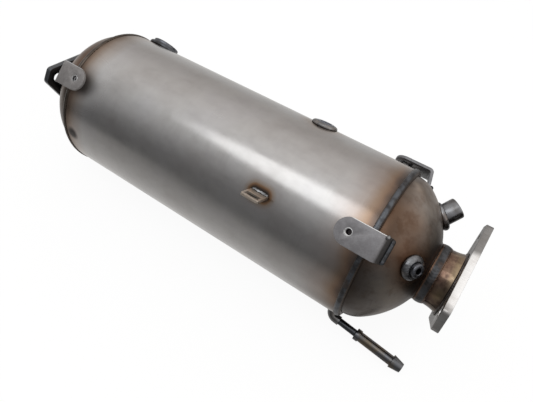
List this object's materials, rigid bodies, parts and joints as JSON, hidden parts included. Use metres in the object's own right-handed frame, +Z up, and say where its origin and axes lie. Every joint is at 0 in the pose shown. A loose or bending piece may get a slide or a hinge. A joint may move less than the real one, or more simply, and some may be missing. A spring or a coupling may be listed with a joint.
{
  "type": "diesel particulate filter",
  "caption": "Round stainless exhaust filter can with pressed end domes, bolted flanges, welded brackets, sensor bosses and a pressure pipe, holding ceramic bricks that trap diesel soot.",
  "frame": {"origin": "middle of the inlet flange's sealing face", "axes": "+X along the can's axis and out of the inlet, +Z up, -Y towards the front brackets' side"},
  "size_m": [0.4837, 0.1659, 0.1578],
  "materials": {
    "can_steel": "satin rolled stainless sheet with heat tint beside its welds",
    "dome_steel": "pressed stainless with a brown heat haze",
    "neck_steel": "stainless tube with straw and pink heat tint",
    "flange_steel": "cut steel plate with bright edges",
    "weld": "dark blue-grey rippled weld bead",
    "bracket_steel": "matte pressed plate",
    "boss_steel": "turned steel, heat darkened",
    "pipe_steel": "dark gunmetal tube and fittings",
    "oxidation_ceramic": "pale honeycomb ceramic",
    "filter_ceramic": "dark silicon carbide honeycomb",
    "filter_cement": "rough cement",
    "mat_fibre": "pressed ceramic fibre mat"
  },
  "bodies": {
    "root": {"can_shell": "can_steel", "inlet_dome": "dome_steel", "outlet_dome": "dome_steel", "inlet_neck": "neck_steel", "inlet_flange": "flange_steel", "outlet_flange": "flange_steel", "oxidation_brick": "oxidation_ceramic", "oxidation_mat": "mat_fibre", "filter_segments": "filter_ceramic", "filter_cement": "filter_cement", "filter_mat": "mat_fibre", "inlet_seam_weld": "weld", "outlet_seam_weld": "weld", "inlet_neck_weld": "weld", "inlet_flange_weld": "weld", "outlet_flange_weld": "weld", "front_inlet_bracket": "bracket_steel", "rear_inlet_bracket": "bracket_steel", "front_outlet_bracket": "bracket_steel", "bracket_weld_nuts": "boss_steel", "bracket_welds": "weld", "shield_tab": "bracket_steel", "tab_welds": "weld", "gap_sensor_boss": "boss_steel", "gap_boss_weld": "weld", "outlet_sensor_boss": "boss_steel", "outlet_boss_weld": "weld", "temperature_boss": "boss_steel", "temperature_boss_weld": "weld", "pressure_tap_boss": "boss_steel", "pressure_tap_weld": "weld", "pressure_elbow": "pipe_steel", "elbow_weld": "weld", "pressure_tube": "pipe_steel", "hose_nipple": "pipe_steel"}
  },
  "joints": []
}
